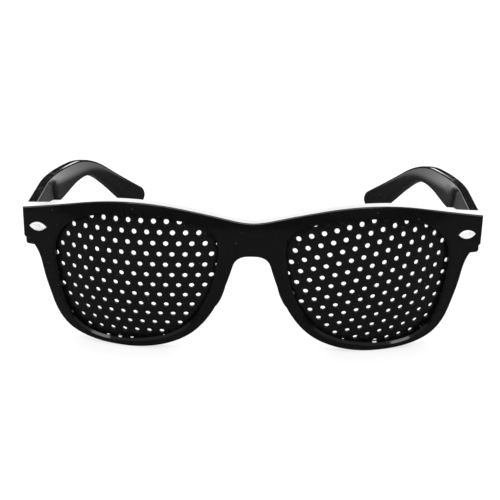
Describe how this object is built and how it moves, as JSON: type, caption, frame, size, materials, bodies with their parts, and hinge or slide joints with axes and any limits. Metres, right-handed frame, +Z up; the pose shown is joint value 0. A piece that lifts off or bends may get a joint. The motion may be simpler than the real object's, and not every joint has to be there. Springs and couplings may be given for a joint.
{
  "type": "pinhole glasses",
  "caption": "Black pinhole glasses: a moulded front with two curved perforated lens sheets and folding temples on screw hinges.",
  "frame": {"origin": "middle of the rectangle that the open glasses take on the surface they stand on", "axes": "+X to the wearer's left, +Y back along the temples, +Z up"},
  "size_m": [0.1482, 0.1532, 0.0501],
  "materials": {
    "gloss_black": "polished black moulding",
    "lens_sheet": "smooth black sheet, drilled all over",
    "hinge_metal": "plain turned and stamped steel",
    "bright_metal": "polished and plated"
  },
  "bodies": {
    "front": {"front_frame": "gloss_black", "lens_right": "lens_sheet", "lens_left": "lens_sheet", "hinge_front_right": "hinge_metal", "hinge_front_left": "hinge_metal", "hinge_screw_right": "hinge_metal", "hinge_screw_left": "hinge_metal", "rivet_right": "bright_metal", "rivet_left": "bright_metal"},
    "temple_right": {"temple_right": "gloss_black", "hinge_temple_right": "hinge_metal"},
    "temple_left": {"temple_left": "gloss_black", "hinge_temple_left": "hinge_metal"}
  },
  "joints": [
    {"name": "fold_right", "type": "hinge", "parent": "front", "child": "temple_right", "pos_m": [-0.0681, -0.05752, 0.03882], "axis": [0, 0, -1], "range_deg": [0, 80]},
    {"name": "fold_left", "type": "hinge", "parent": "front", "child": "temple_left", "pos_m": [0.0681, -0.05752, 0.03882], "axis": [0, 0, 1], "range_deg": [0, 72]}
  ]
}
